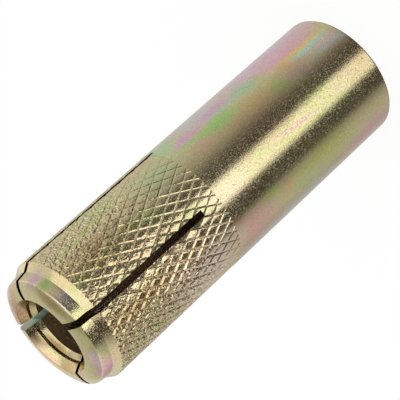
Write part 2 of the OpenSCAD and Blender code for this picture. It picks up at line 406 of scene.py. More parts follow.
def yellow_zinc():
    material = bpy.data.materials.new("yellow_passivated_zinc")
    material.use_nodes = True
    tree = material.node_tree
    tree.nodes.clear()
    place = add_node(tree, "ShaderNodeTexCoord").outputs["Object"]
    parts = add_node(tree, "ShaderNodeSeparateXYZ", {0: place}).outputs
    level = add_node(tree, "ShaderNodeCombineXYZ", {"X": parts["X"], "Y": parts["Y"]}).outputs[0]
    radius = add_node(tree, "ShaderNodeVectorMath", {0: level}, operation="LENGTH").outputs["Value"]

    # Where a point lies: in the bore below its throat, or in the knurled band
    inside = add_node(
        tree, "ShaderNodeMath", {0: radius, 1: BORE_WALL_R * MM}, operation="LESS_THAN").outputs[0]
    outside = add_node(tree, "ShaderNodeMath", {0: 1.0, 1: inside}, operation="SUBTRACT").outputs[0]
    in_bore = add_node(
        tree, "ShaderNodeMapRange",
        {"Value": parts["Z"], "From Min": (THROAT_Z - THROAT_EDGE) * MM, "From Max": THROAT_Z * MM,
         "To Min": 0.85, "To Max": 0.0}).outputs[0]
    in_bore = add_node(tree, "ShaderNodeMath", {0: in_bore, 1: inside}, operation="MULTIPLY").outputs[0]
    beyond_start = add_node(
        tree, "ShaderNodeMath", {0: parts["Z"], 1: (KNURL_Z + SKIN) * MM},
        operation="GREATER_THAN").outputs[0]
    before_end = add_node(
        tree, "ShaderNodeMath", {0: parts["Z"], 1: SHOULDER_Z * MM}, operation="LESS_THAN").outputs[0]
    in_band = add_node(
        tree, "ShaderNodeMath", {0: beyond_start, 1: before_end}, operation="MULTIPLY").outputs[0]

    streaks, film = streaked_film(tree, place)
    film = film_and_shade_in_openings(tree, film, parts, in_bore)
    film = patched_film_light_and_shade(tree, film, place)

    # The brown at a groove's bottom is a thicker film from the dip, and also painted shade in the groove
    sunk = add_node(
        tree, "ShaderNodeMapRange",
        {"Value": radius, "From Min": GROOVE_LOW_R * MM, "From Max": GROOVE_HIGH_R * MM, "To Min": 0.8,
         "To Max": 0.0}).outputs[0]
    for share in (in_band, outside):
        sunk = add_node(tree, "ShaderNodeMath", {0: sunk, 1: share}, operation="MULTIPLY").outputs[0]
    film = add_node(
        tree, "ShaderNodeMix", {0: sunk, 6: film, 7: linear(GROOVE_FILM_AND_SHADE)}, data_type="RGBA").outputs[2]

    # Grains of zinc: darker and lighter ones, and a relief with that of the churned metal
    grain = add_node(
        tree, "ShaderNodeTexNoise",
        {"Vector": place, "Scale": per_metre(GRAIN), "Detail": 2.0, "Roughness": 0.6}).outputs["Fac"]
    shade = add_node(
        tree, "ShaderNodeMapRange",
        {"Value": grain, "From Min": 0.3, "From Max": 0.7, "To Min": 0.8, "To Max": 1.05}).outputs[0]
    film = add_node(
        tree, "ShaderNodeMix", {0: 1.0, 6: film, 7: shade}, data_type="RGBA",
        blend_type="MULTIPLY").outputs[2]
    churned = churned_metal(tree, place, parts["Z"], level, in_band)
    grit = add_node(tree, "ShaderNodeMath", {0: grain, 1: churned}, operation="ADD").outputs[0]
    relief = add_node(
        tree, "ShaderNodeBump", {"Strength": 1.0, "Distance": RELIEF * MM, "Height": grit}).outputs[0]
    metal = add_node(
        tree, "ShaderNodeBsdfPrincipled",
        {"Base Color": film, "Metallic": 1.0, "Roughness": plating_dullness(tree, place, streaks, in_bore),
         "Normal": relief})
    add_node(tree, "ShaderNodeOutputMaterial", {"Surface": metal.outputs[0]})
    return material


zinc = yellow_zinc()
print(zinc.name, "has", len(zinc.node_tree.nodes), "nodes")

# %% [markdown]
# ## Plain turned steel
# The plug inside is turned from bar and left bare. A lathe tool leaves fine rings round the axis, so a wave
# pattern on the distance from the axis lifts its faces and its nose a little. Stains make it uneven.


# %% Plain steel, as a material
STAINS = 3.0
# The rings lie 2 pi of these steps apart. The wave pattern multiplies its scale by the factor
RING_STEP = 0.12
WAVE_FACTOR = 20.0
RING_RELIEF = 0.01


def turned_steel():
    material = bpy.data.materials.new("turned_plain_steel")
    material.use_nodes = True
    tree = material.node_tree
    tree.nodes.clear()
    place = add_node(tree, "ShaderNodeTexCoord").outputs["Object"]
    stains = add_node(
        tree, "ShaderNodeTexNoise",
        {"Vector": place, "Scale": per_metre(STAINS), "Detail": 4.0, "Roughness": 0.6}).outputs["Fac"]
    colour = add_node(
        tree, "ShaderNodeValToRGB", {"Fac": stains},
        stops=[(0.3, linear("#8d8a84")), (0.55, linear("#a9a7a2")),
               (0.8, linear("#b5b3ae"))]).outputs["Color"]
    rings = add_node(
        tree, "ShaderNodeTexWave",
        {"Vector": place, "Scale": per_metre(RING_STEP) / WAVE_FACTOR, "Distortion": 0.4},
        wave_type="RINGS", rings_direction="Z").outputs["Fac"]
    relief = add_node(
        tree, "ShaderNodeBump", {"Strength": 0.5, "Distance": RING_RELIEF * MM, "Height": rings}).outputs[0]
    metal = add_node(
        tree, "ShaderNodeBsdfPrincipled",
        {"Base Color": colour, "Metallic": 1.0, "Roughness": 0.38, "Normal": relief})
    add_node(tree, "ShaderNodeOutputMaterial", {"Surface": metal.outputs[0]})
    return material


steel = turned_steel()
print(steel.name, "has", len(steel.node_tree.nodes), "nodes")

# %% [markdown]
# ## Turned shapes
# The sleeve and the plug come off a lathe, so each is a profile swept once round the axis. The profile is a
# closed loop of radius and height. A point on the axis becomes a single vertex, so a pole is closed.


# %% A profile swept round the axis
def turned_shape(name, profile, segments):
    """A new object: the profile of (radius, height) points in mm, swept once round the Z axis."""
    work = bmesh.new()
    rings = []
    for radius, height in profile:
        turns = [2 * math.pi * step / segments for step in range(segments)] if radius else [0.0]
        rings.append([
            work.verts.new((radius * math.cos(turn) * MM, radius * math.sin(turn) * MM, height * MM))
            for turn in turns])
    for here, there in zip(rings, rings[1:] + rings[:1]):
        for step in range(segments):
            corners = []
            for ring, place in ((here, step), (here, step + 1), (there, step + 1), (there, step)):
                vertex = ring[place % len(ring)]
                if vertex not in corners:
                    corners.append(vertex)
            if len(corners) > 2:
                work.faces.new(corners)
    bmesh.ops.recalc_face_normals(work, faces=work.faces)
    mesh = bpy.data.meshes.new(name)
    work.to_mesh(mesh)
    work.free()
    turned = bpy.data.objects.new(name, mesh)
    bpy.context.scene.collection.objects.link(turned)
    return turned


def rounded(corner, radius, start, end, steps=8):
    """Points of an arc in a profile, with its centre at corner, from one angle in degrees to another."""
    angles = [math.radians(start + (end - start) * step / steps) for step in range(steps + 1)]
    return [(corner[0] + radius * math.cos(a), corner[1] + radius * math.sin(a)) for a in angles]


# %% The core of the sleeve
SEGMENTS = 240
# The arc of the neck's rim in degrees, and the sloping end face as radius and height
RIM_ARC = (6, 66)
END_FACE = [(6.75, 49.61), (6.45, 49.74), (6.1, 49.85), (5.6, 49.95)]
# Softened edges of the mouth: radius from the edge, and height from it
MOUTH_EDGE = [(0.07, 0.0), (-0.01, -0.03), (-0.05, -0.09)]
FLARE_FOOT = [(0.03, 0.05), (0.0, -0.03)]
core_profile = [
    (THREAD_R + LEAD_IN, 0.0),
    *rounded((SLEEVE_R - PLAIN_EDGE, PLAIN_EDGE), PLAIN_EDGE, -90, 0),
    (SLEEVE_R, KNURL_Z),
    (NECK_R, KNURL_Z),
    (NECK_R, NECK_Z + NECK_STRAIGHT),
    *rounded((NECK_TIP_R - RIM_ROUND, RIM_Z - RIM_ROUND), RIM_ROUND, *RIM_ARC),
    *END_FACE,
    *[(MOUTH_R + MOUTH_FLARE + out, SLEEVE_LENGTH + up) for out, up in MOUTH_EDGE],
    *[(MOUTH_R + out, SLEEVE_LENGTH - FLARE_DEPTH + up) for out, up in FLARE_FOOT],
    (MOUTH_R, MOUTH_Z),
    (TAPER_END_R, THROAT_Z),
    (CHAMBER_R, TAPER_Z),
    (CHAMBER_R, CHAMBER_Z),
    (THREAD_R, CHAMBER_Z),
    (THREAD_R, LEAD_IN),
]
core = turned_shape("sleeve_core", core_profile, SEGMENTS)
print("sleeve core:", len(core.data.polygons), "faces")

# %% [markdown]
# ## The knurl
# Two sets of helical grooves are rolled into the sleeve and leave diamonds between them. Modelling one
# diamond by hand and copying it would give gaps where the grooves grow shallow, so Geometry Nodes do it by
# rule. A small square patch, which keeps its own coordinates in an attribute, is put on every point of a
# lattice. After the patches are realized, each vertex is moved: its coordinates say how far it is from a
# groove, and its height and its side say how wide and deep the groove is there, because the wheel pressed
# harder on one side. At last the flat lattice is wrapped round the axis, and its rim is drawn inwards so
# that the band is a closed ring.

# %% Sizes of the knurl, in mm
KNURL_STARTS = 40
KNURL_LAYERS = 17
KNURL_LAYER = (SHOULDER_Z - KNURL_Z) / KNURL_LAYERS
# Start and Turn put the grooves where they lie on this sleeve: half a layer down, a quarter of a step round.
# Grooves and Shoulder are shares of a diamond's side
KNURL_SIZES = {
    "Start": (KNURL_Z - KNURL_LAYER / 2) * MM,
    "Layer": KNURL_LAYER * MM,
    "Turn": math.radians(360.0 / KNURL_STARTS / 4),
    "Crest": KNURL_R * MM,
    "Depth": 0.12 * MM,
    "Dome": 0.03 * MM,
    "Groove": 0.165,
    "Light groove": 0.09,
    "Faded groove": 0.07,
    "Second set": 0.8,
    "Fade": 9.0 * MM,
    "Heavy side": math.radians(225.0),
    "Shoulder": 0.07,
    "Unevenness": 0.1 * MM,
    "Unevenness size": per_metre(0.5),
    "Ring": 6.3 * MM,
}
print(KNURL_STARTS, "starts in", KNURL_LAYERS, "layers of", round(KNURL_LAYER, 3), "mm")


# %% A lattice of patches
PATCH_POINTS = 6
END_ROWS = 3.0


def patch_lattice(tree, given):
    """The patches on their lattice, each vertex's place in its square, and the corner of that square."""
    square = add_node(
        tree, "GeometryNodeMeshGrid",
        {"Size X": 1.0, "Size Y": 1.0, "Vertices X": PATCH_POINTS, "Vertices Y": PATCH_POINTS})
    spot = add_node(tree, "GeometryNodeInputPosition").outputs[0]
    shifted = add_node(
        tree, "ShaderNodeVectorMath", {0: spot, 1: (0.5, 0.5, 0.0)}, operation="ADD").outputs[0]
    patch = add_node(
        tree, "GeometryNodeStoreNamedAttribute",
        {"Geometry": square.outputs["Mesh"], "Name": "place", "Value": shifted},
        data_type="FLOAT_VECTOR", domain="POINT").outputs[0]

    # A row of diamonds for each layer and some for the ends, every second row moved by half a diamond
    rows = add_node(tree, "ShaderNodeMath", {0: given["Layers"], 1: END_ROWS}, operation="ADD").outputs[0]
    count = add_node(tree, "ShaderNodeMath", {0: rows, 1: given["Starts"]}, operation="MULTIPLY").outputs[0]
    index = add_node(tree, "GeometryNodeInputIndex").outputs[0]
    ratio = add_node(tree, "ShaderNodeMath", {0: index, 1: given["Starts"]}, operation="DIVIDE").outputs[0]
    row = add_node(tree, "ShaderNodeMath", {0: ratio}, operation="FLOOR").outputs[0]
    column = add_node(tree, "ShaderNodeMath", {0: index, 1: given["Starts"]}, operation="MODULO").outputs[0]
    odd = add_node(tree, "ShaderNodeMath", {0: row, 1: 2.0}, operation="MODULO").outputs[0]
    across = add_node(
        tree, "ShaderNodeMath", {0: odd, 1: 0.5, 2: column}, operation="MULTIPLY_ADD").outputs[0]
    grid = add_node(tree, "ShaderNodeCombineXYZ", {"X": across, "Y": row}).outputs[0]
    points = add_node(tree, "GeometryNodePoints", {"Count": count, "Position": grid}).outputs[0]
    copies = add_node(
        tree, "GeometryNodeInstanceOnPoints", {"Points": points, "Instance": patch}).outputs[0]
    sheet = add_node(tree, "GeometryNodeRealizeInstances", {"Geometry": copies}).outputs[0]
    place = add_node(
        tree, "GeometryNodeInputNamedAttribute", {"Name": "place"}, data_type="FLOAT_VECTOR").outputs[0]
    corner = add_node(tree, "ShaderNodeVectorMath", {0: spot, 1: place}, operation="SUBTRACT").outputs[0]
    return sheet, place, add_node(tree, "ShaderNodeSeparateXYZ", {0: corner}).outputs


print("patches of", PATCH_POINTS, "by", PATCH_POINTS, "points")


# %% From a square to a diamond, and the width of its grooves
ACROSS = (0.5, -0.5, 0.0)
UP = (1.0, 1.0, 0.0)
LIGHTLY_PRESSED = 0.4
FULLY_PRESSED = 0.9


def on_corner(tree, place, corner):
    """The square stood on its corner: across in steps round the sleeve, and up in layers."""
    across = add_node(
        tree, "ShaderNodeVectorMath", {0: place, 1: ACROSS}, operation="DOT_PRODUCT").outputs["Value"]
    across = add_node(tree, "ShaderNodeMath", {0: corner["X"], 1: across}, operation="ADD").outputs[0]
    layer = add_node(
        tree, "ShaderNodeVectorMath", {0: place, 1: UP}, operation="DOT_PRODUCT").outputs["Value"]
    layer = add_node(tree, "ShaderNodeMath", {0: corner["Y"], 1: layer}, operation="ADD").outputs[0]
    layer = add_node(tree, "ShaderNodeMath", {0: layer, 1: 0.5}, operation="SUBTRACT").outputs[0]
    return across, layer


def groove_width(tree, given, across, layer, turn):
    """How hard the wheel pressed, from -1 to 1, and the share of a diamond that a groove takes there."""
    bearing = add_node(tree, "ShaderNodeMath", {0: across, 1: turn}, operation="MULTIPLY").outputs[0]
    bearing = add_node(
        tree, "ShaderNodeMath", {0: bearing, 1: given["Heavy side"]}, operation="SUBTRACT").outputs[0]
    pressed = add_node(tree, "ShaderNodeMath", {0: bearing}, operation="COSINE").outputs[0]
    full = add_node(
        tree, "ShaderNodeMapRange",
        {"Value": pressed, "From Min": LIGHTLY_PRESSED, "From Max": FULLY_PRESSED,
         "To Min": given["Light groove"], "To Max": given["Groove"]}).outputs[0]
    rise = add_node(tree, "ShaderNodeMath", {0: layer, 1: given["Layer"]}, operation="MULTIPLY").outputs[0]
    width = add_node(
        tree, "ShaderNodeMapRange",
        {"Value": rise, "From Min": 0.0, "From Max": given["Fade"], "To Min": given["Faded groove"],
         "To Max": full}).outputs[0]
    return pressed, width


print("full grooves take", KNURL_SIZES["Groove"], "of a diamond, light ones", KNURL_SIZES["Light groove"])


# %% Walls and tops of the diamonds
WALL = 1.0 / (PATCH_POINTS - 1)
TOP = 2 * WALL
SECOND_LIGHT = 0.0
SECOND_FULL = 0.5


def drawn_square(tree, given, place, near, width):
    """The vertex's place in its square, drawn to the groove's true width."""
    wall = add_node(
        tree, "ShaderNodeMapRange",
        {6: near, 7: (0.0, 0.0, 0.0), 8: (WALL, WALL, 1.0), 9: (0.0, 0.0, 0.0), 10: width},
        data_type="FLOAT_VECTOR").outputs[1]
    edge = add_node(
        tree, "ShaderNodeMapRange",
        {6: near, 7: (WALL, WALL, 0.0), 8: (TOP, TOP, 1.0), 9: (0.0, 0.0, 0.0), 10: given["Shoulder"]},
        data_type="FLOAT_VECTOR").outputs[1]
    drawn = add_node(tree, "ShaderNodeVectorMath", {0: wall, 1: edge}, operation="ADD").outputs[0]
    half = add_node(
        tree, "ShaderNodeVectorMath", {0: place, 1: (0.5, 0.5, 0.0)}, operation="ADD").outputs[0]
    side = add_node(tree, "ShaderNodeVectorMath", {0: half}, operation="FLOOR").outputs[0]
    sign = add_node(
        tree, "ShaderNodeVectorMath", {0: side, 1: (-2.0, -2.0, 0.0), 2: (1.0, 1.0, 0.0)},
        operation="MULTIPLY_ADD").outputs[0]
    return add_node(
        tree, "ShaderNodeVectorMath", {0: drawn, 1: sign, 2: side}, operation="MULTIPLY_ADD").outputs[0]


def diamond_radius(tree, given, near, pressed, width):
    """Radius: up from the groove's bottom to the edge of the diamond, and over its domed top."""
    sides = add_node(tree, "ShaderNodeSeparateXYZ", {0: near}).outputs
    inset = add_node(tree, "ShaderNodeMath", {0: sides["X"], 1: sides["Y"]}, operation="MINIMUM").outputs[0]
    share = add_node(tree, "ShaderNodeMath", {0: width, 1: given["Groove"]}, operation="DIVIDE").outputs[0]
    deep = add_node(tree, "ShaderNodeMath", {0: share, 1: given["Depth"]}, operation="MULTIPLY").outputs[0]
    bottom = add_node(tree, "ShaderNodeMath", {0: given["Crest"], 1: deep}, operation="SUBTRACT").outputs[0]
    dome = add_node(tree, "ShaderNodeMath", {0: share, 1: given["Dome"]}, operation="MULTIPLY").outputs[0]
    brow = add_node(tree, "ShaderNodeMath", {0: given["Crest"], 1: dome}, operation="SUBTRACT").outputs[0]
    # The second set of grooves is shallower on the lightly rolled side
    second = add_node(
        tree, "ShaderNodeMapRange",
        {"Value": pressed, "From Min": SECOND_LIGHT, "From Max": SECOND_FULL, "To Min": given["Second set"],
         "To Max": 1.0}).outputs[0]
    second = add_node(tree, "ShaderNodeMix", {0: second, 2: brow, 3: bottom}, data_type="FLOAT").outputs[0]
    walls = [
        add_node(
            tree, "ShaderNodeMapRange",
            {"Value": sides[axis], "From Min": 0.0, "From Max": WALL, "To Min": low,
             "To Max": brow}).outputs[0]
        for axis, low in (("Y", bottom), ("X", second))]
    lower = add_node(tree, "ShaderNodeMath", {0: walls[0], 1: walls[1]}, operation="MINIMUM").outputs[0]
    top = add_node(
        tree, "ShaderNodeMapRange",
        {"Value": inset, "From Min": WALL, "From Max": TOP, "To Min": 0.0, "To Max": dome}).outputs[0]
    return add_node(tree, "ShaderNodeMath", {0: lower, 1: top}, operation="ADD").outputs[0]


print("wall up to", WALL, "and top from", TOP, "of a patch's side")


# %% Metal pushed about, and the closed ring
WELD = 1e-6


def stirred_band(tree, given, band):
    """The band with every vertex a little out of place, more where the knurl is fully formed."""
    spot = add_node(tree, "GeometryNodeInputPosition").outputs[0]
    stir = add_node(
        tree, "ShaderNodeTexNoise",
        {"Vector": spot, "Scale": given["Unevenness size"], "Detail": 1.0}).outputs["Color"]
    stir = add_node(
        tree, "ShaderNodeVectorMath", {0: stir, 1: (-0.5, -0.5, -0.5)}, operation="ADD").outputs[0]
    above = add_node(tree, "ShaderNodeSeparateXYZ", {0: spot}).outputs["Z"]
    above = add_node(
        tree, "ShaderNodeMath", {0: above, 1: given["Start"]}, operation="SUBTRACT").outputs[0]
    amount = add_node(
        tree, "ShaderNodeMapRange",
        {"Value": above, "From Min": 0.0, "From Max": given["Fade"], "To Min": 0.0,
         "To Max": given["Unevenness"]}).outputs[0]
    stir = add_node(tree, "ShaderNodeVectorMath", {0: stir, 3: amount}, operation="SCALE").outputs[0]
    return add_node(tree, "GeometryNodeSetPosition", {"Geometry": band, "Offset": stir}).outputs[0]


def closed_ring(tree, given, band):
    """The band with the same sheet on the ring's inside, and a wall from the open rim to it."""
    spot = add_node(tree, "GeometryNodeInputPosition").outputs[0]
    level = add_node(
        tree, "ShaderNodeVectorMath", {0: spot, 1: (1.0, 1.0, 0.0)}, operation="MULTIPLY").outputs[0]
    outwards = add_node(tree, "ShaderNodeVectorMath", {0: level}, operation="NORMALIZE").outputs[0]
    base = add_node(
        tree, "ShaderNodeVectorMath", {0: outwards, 3: given["Ring"]}, operation="SCALE").outputs[0]
    inner_place = add_node(
        tree, "ShaderNodeVectorMath", {0: spot, 1: (0.0, 0.0, 1.0), 2: base},
        operation="MULTIPLY_ADD").outputs[0]
    inner = add_node(
        tree, "GeometryNodeSetPosition", {"Geometry": band, "Position": inner_place}).outputs[0]
    inner = add_node(tree, "GeometryNodeFlipFaces", {"Mesh": inner}).outputs[0]
    faces = add_node(tree, "GeometryNodeInputMeshEdgeNeighbors").outputs[0]
    rim = add_node(
        tree, "FunctionNodeCompare", {2: faces, 3: 1}, data_type="INT", operation="EQUAL").outputs[0]
    walls = add_node(
        tree, "GeometryNodeExtrudeMesh", {"Mesh": band, "Selection": rim, "Offset Scale": 0.0},
        mode="EDGES").outputs
    walled = add_node(
        tree, "GeometryNodeSetPosition",
        {"Geometry": walls["Mesh"], "Selection": walls["Top"], "Position": inner_place}).outputs[0]
    both = add_node(tree, "GeometryNodeJoinGeometry")
    tree.links.new(walled, both.inputs[0])
    tree.links.new(inner, both.inputs[0])
    return add_node(
        tree, "GeometryNodeMergeByDistance", {"Geometry": both.outputs[0], "Distance": WELD}).outputs[0]


print("vertices closer than", WELD / MM, "mm are joined")


# %% The knurl as Geometry Nodes
def knurl_tree():
    tree = bpy.data.node_groups.new("diamond_knurl", "GeometryNodeTree")
    face = tree.interface
    face.new_socket("Geometry", in_out="OUTPUT", socket_type="NodeSocketGeometry")
    for name in ("Starts", "Layers"):
        face.new_socket(name, in_out="INPUT", socket_type="NodeSocketInt")
    for name in KNURL_SIZES:
        face.new_socket(name, in_out="INPUT", socket_type="NodeSocketFloat")
    face.new_socket("Finish", in_out="INPUT", socket_type="NodeSocketMaterial")
    given = add_node(tree, "NodeGroupInput").outputs

    sheet, place, corner = patch_lattice(tree, given)
    turn = add_node(
        tree, "ShaderNodeMath", {0: 2 * math.pi, 1: given["Starts"]}, operation="DIVIDE").outputs[0]
    across, layer = on_corner(tree, place, corner)
    pressed, width = groove_width(tree, given, across, layer, turn)
    other = add_node(
        tree, "ShaderNodeVectorMath", {0: (1.0, 1.0, 0.0), 1: place}, operation="SUBTRACT").outputs[0]
    near = add_node(tree, "ShaderNodeVectorMath", {0: place, 1: other}, operation="MINIMUM").outputs[0]
    across, layer = on_corner(tree, drawn_square(tree, given, place, near, width), corner)
    angle = add_node(
        tree, "ShaderNodeMath", {0: across, 1: turn, 2: given["Turn"]}, operation="MULTIPLY_ADD").outputs[0]
    height = add_node(
        tree, "ShaderNodeMath", {0: layer, 1: given["Layer"], 2: given["Start"]},
        operation="MULTIPLY_ADD").outputs[0]
    radius = diamond_radius(tree, given, near, pressed, width)

    # Wrapped round the axis and joined
    out = add_node(tree, "ShaderNodeCombineXYZ", {"X": radius, "Z": height}).outputs[0]
    wrapped = add_node(
        tree, "ShaderNodeVectorRotate", {"Vector": out, "Angle": angle}, rotation_type="Z_AXIS").outputs[0]
    band = add_node(tree, "GeometryNodeSetPosition", {"Geometry": sheet, "Position": wrapped}).outputs[0]
    band = add_node(tree, "GeometryNodeMergeByDistance", {"Geometry": band, "Distance": WELD}).outputs[0]
    ring = closed_ring(tree, given, stirred_band(tree, given, band))
    plain = add_node(tree, "GeometryNodeRealizeInstances", {"Geometry": ring}).outputs[0]
    finished = add_node(
        tree, "GeometryNodeSetMaterial", {"Geometry": plain, "Material": given["Finish"]}).outputs[0]
    add_node(tree, "NodeGroupOutput", {"Geometry": finished})
    return tree


print("the knurl has", len(KNURL_SIZES), "sizes to set")


# %% A tree's result as a plain mesh
def from_rule(name, tree, values):
    """Runs a Geometry Nodes tree with these inputs and gives its result as an object with a plain mesh."""
    made = bpy.data.objects.new(name, bpy.data.meshes.new(name))
    bpy.context.scene.collection.objects.link(made)
    rule = made.modifiers.new("rule", "NODES")
    rule.node_group = tree
    for socket in tree.interface.items_tree:
        if socket.in_out == "INPUT":
            rule[socket.identifier] = values[socket.name]
    return settled(made)


def settled(made):
    """Replaces an object's mesh with what its modifiers make of it, closed and facing outwards."""
    bpy.context.view_layer.update()
    seen = made.evaluated_get(bpy.context.evaluated_depsgraph_get())
    mesh = bpy.data.meshes.new_from_object(seen)
    made.modifiers.clear()
    work = bmesh.new()
    work.from_mesh(mesh)
    bmesh.ops.recalc_face_normals(work, faces=work.faces)
    open_edges = sum(1 for edge in work.edges if len(edge.link_faces) != 2)
    print(made.name, len(work.faces), "faces,", open_edges, "open edges,",
          round(work.calc_volume(signed=True) / MM ** 3, 2), "mm3")
    work.to_mesh(mesh)
    work.free()
    mesh.name = made.name
    made.data = mesh
    return made


knurl = from_rule(
    "knurl_ring", knurl_tree(),
    {"Starts": KNURL_STARTS, "Layers": KNURL_LAYERS, "Finish": zinc, **KNURL_SIZES})

# %% [markdown]
# ## The thread
# The bolt's thread is a ridge that climbs 1.75 mm each turn. It is cut here with a screw of that form: a
# cylinder of many rings whose radius follows height and angle, again by rule in Geometry Nodes. Where the
# screw is thinner than the hole it doesn't reach the wall, which leaves the flat crests of the thread.

# %% Sizes of the thread, in mm
PITCH = 1.75
THREAD_SIZES = {
    "Pitch": PITCH * MM,
    "Low": -1.0 * MM,
    "High": CHAMBER_Z * MM,
    "Minor": 5.04 * MM,
    "Major": 6.0 * MM,
}
print("thread:", round(CHAMBER_Z / PITCH, 1), "turns")


# %% The thread cutter as Geometry Nodes
CUTTER_SIDES = 96
CUTTER_RINGS = 151
# Shares of the pitch from the middle of a root to where its flank starts and ends
FLANK = (0.06, 0.38)


def thread_tree():
    tree = bpy.data.node_groups.new("thread_cutter", "GeometryNodeTree")
    face = tree.interface
    face.new_socket("Geometry", in_out="OUTPUT", socket_type="NodeSocketGeometry")
    for name in THREAD_SIZES:
        face.new_socket(name, in_out="INPUT", socket_type="NodeSocketFloat")
    face.new_socket("Finish", in_out="INPUT", socket_type="NodeSocketMaterial")
    given = add_node(tree, "NodeGroupInput").outputs
    tube = add_node(
        tree, "GeometryNodeMeshCylinder",
        {"Vertices": CUTTER_SIDES, "Side Segments": CUTTER_RINGS, "Radius": 1.0, "Depth": 1.0},
        fill_type="NGON").outputs["Mesh"]
    spot = add_node(tree, "GeometryNodeInputPosition").outputs[0]
    parts = add_node(tree, "ShaderNodeSeparateXYZ", {0: spot}).outputs
    height = add_node(
        tree, "ShaderNodeMapRange",
        {"Value": parts["Z"], "From Min": -0.5, "From Max": 0.5, "To Min": given["Low"],
         "To Max": given["High"]}).outputs[0]
    angle = add_node(tree, "ShaderNodeMath", {0: parts["Y"], 1: parts["X"]}, operation="ARCTAN2").outputs[0]
    turns = add_node(tree, "ShaderNodeMath", {0: angle, 1: 2 * math.pi}, operation="DIVIDE").outputs[0]
    climb = add_node(tree, "ShaderNodeMath", {0: height, 1: given["Pitch"]}, operation="DIVIDE").outputs[0]
    phase = add_node(tree, "ShaderNodeMath", {0: climb, 1: turns}, operation="SUBTRACT").outputs[0]
    ridge = add_node(tree, "ShaderNodeMath", {0: phase, 1: 0.5}, operation="PINGPONG").outputs[0]
    radius = add_node(
        tree, "ShaderNodeMapRange",
        {"Value": ridge, "From Min": FLANK[0], "From Max": FLANK[1], "To Min": given["Major"],
         "To Max": given["Minor"]}).outputs[0]
    level = add_node(
        tree, "ShaderNodeVectorMath", {0: spot, 1: (1.0, 1.0, 0.0)}, operation="MULTIPLY").outputs[0]
    outwards = add_node(tree, "ShaderNodeVectorMath", {0: level}, operation="NORMALIZE").outputs[0]
    wide = add_node(tree, "ShaderNodeVectorMath", {0: outwards, 3: radius}, operation="SCALE").outputs[0]
    tall = add_node(tree, "ShaderNodeCombineXYZ", {"Z": height}).outputs[0]
    to = add_node(tree, "ShaderNodeVectorMath", {0: wide, 1: tall}, operation="ADD").outputs[0]
    screw = add_node(tree, "GeometryNodeSetPosition", {"Geometry": tube, "Position": to}).outputs[0]
    plain = add_node(tree, "GeometryNodeRealizeInstances", {"Geometry": screw}).outputs[0]
    finished = add_node(
        tree, "GeometryNodeSetMaterial", {"Geometry": plain, "Material": given["Finish"]}).outputs[0]
    add_node(tree, "NodeGroupOutput", {"Geometry": finished})
    return tree


thread = from_rule("thread_cutter", thread_tree(), {"Finish": zinc, **THREAD_SIZES})

# %% [markdown]
# ## The sleeve put together
# The knurl is trimmed by a turned shape to get the sloping shoulder, and joined to the core. Then the thread
# is cut, and a saw goes through twice: from side to side through the axis, and from front to back a
# little beside it, not quite as deep. Boolean modifiers do this, in the order of the workshop.

# %% Trimming shape and saw blades
def saw_blade(name, size, low):
    """A box of that size in mm, with its lowest corner at low."""
    work = bmesh.new()
    bmesh.ops.create_cube(work, size=1.0)
    for vertex in work.verts:
        for axis in range(3):
            vertex.co[axis] = (low[axis] + (vertex.co[axis] + 0.5) * size[axis]) * MM
    mesh = bpy.data.meshes.new(name)
    work.to_mesh(mesh)
    work.free()
    blade = bpy.data.objects.new(name, mesh)
    bpy.context.scene.collection.objects.link(blade)
    return blade


PASS = 1.0
SPAN = 2 * (SLEEVE_R + PASS)
side_blade = saw_blade(
    "side_blade", (SPAN, SIDE_CUT_W, SIDE_CUT_DEPTH + PASS),
    (-SPAN / 2, -SIDE_CUT_W / 2, SLEEVE_LENGTH - SIDE_CUT_DEPTH))
front_blade = saw_blade(
    "front_blade", (FRONT_CUT_W, SPAN, FRONT_CUT_DEPTH + PASS),
    (FRONT_CUT_OFFSET - FRONT_CUT_W / 2, -SPAN / 2, SLEEVE_LENGTH - FRONT_CUT_DEPTH))
SHOULDER_SLOPE = (KNURL_R - NECK_R) / (NECK_Z - SHOULDER_Z)
BURY = 0.3
TRIM_IN = 6.0
TRIM_OUT = 8.2
shoulder_trim = turned_shape("shoulder_trim", [
    (TRIM_IN, KNURL_Z - BURY),
    (TRIM_OUT, KNURL_Z - BURY),
    (TRIM_OUT, SHOULDER_Z - (TRIM_OUT - KNURL_R) / SHOULDER_SLOPE),
    (NECK_R - BURY * SHOULDER_SLOPE, NECK_Z + BURY),
    (TRIM_IN, NECK_Z + BURY),
], SEGMENTS)
print("shoulder slope:", round(SHOULDER_SLOPE, 3))


# %% Join and cut
def work_on(piece, tool, operation):
    """Adds a step of work to a piece: a tool is joined to it, or cut from it."""
    step = piece.modifiers.new(tool.name, "BOOLEAN")
    step.object = tool
    step.operation = operation
    step.solver = "MANIFOLD"


work_on(knurl, shoulder_trim, "INTERSECT")
work_on(core, knurl, "UNION")
work_on(core, thread, "DIFFERENCE")
work_on(core, side_blade, "DIFFERENCE")
work_on(core, front_blade, "DIFFERENCE")
sleeve = settled(core)
sleeve.name = "anchor_sleeve_plated"
for tool in (knurl, thread, side_blade, front_blade, shoulder_trim):
    bpy.data.objects.remove(tool)

# %% Finish of the sleeve
SMOOTH_BELOW = 16.0
sleeve.data.materials.clear()
sleeve.data.materials.append(zinc)
sleeve.data.shade_smooth()
sleeve.data.set_sharp_from_angle(angle=math.radians(SMOOTH_BELOW))
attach(sleeve, "root")
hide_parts("anchor_sleeve")
print(sleeve.name, len(sleeve.data.polygons), "faces")

# %% [markdown]
# ## The expander plug
# The plug waits in the chamber with its nose in the start of the taper. It is a turned slug with a broken
# edge at the end that the setting tool strikes, and a small centre mark from the lathe.

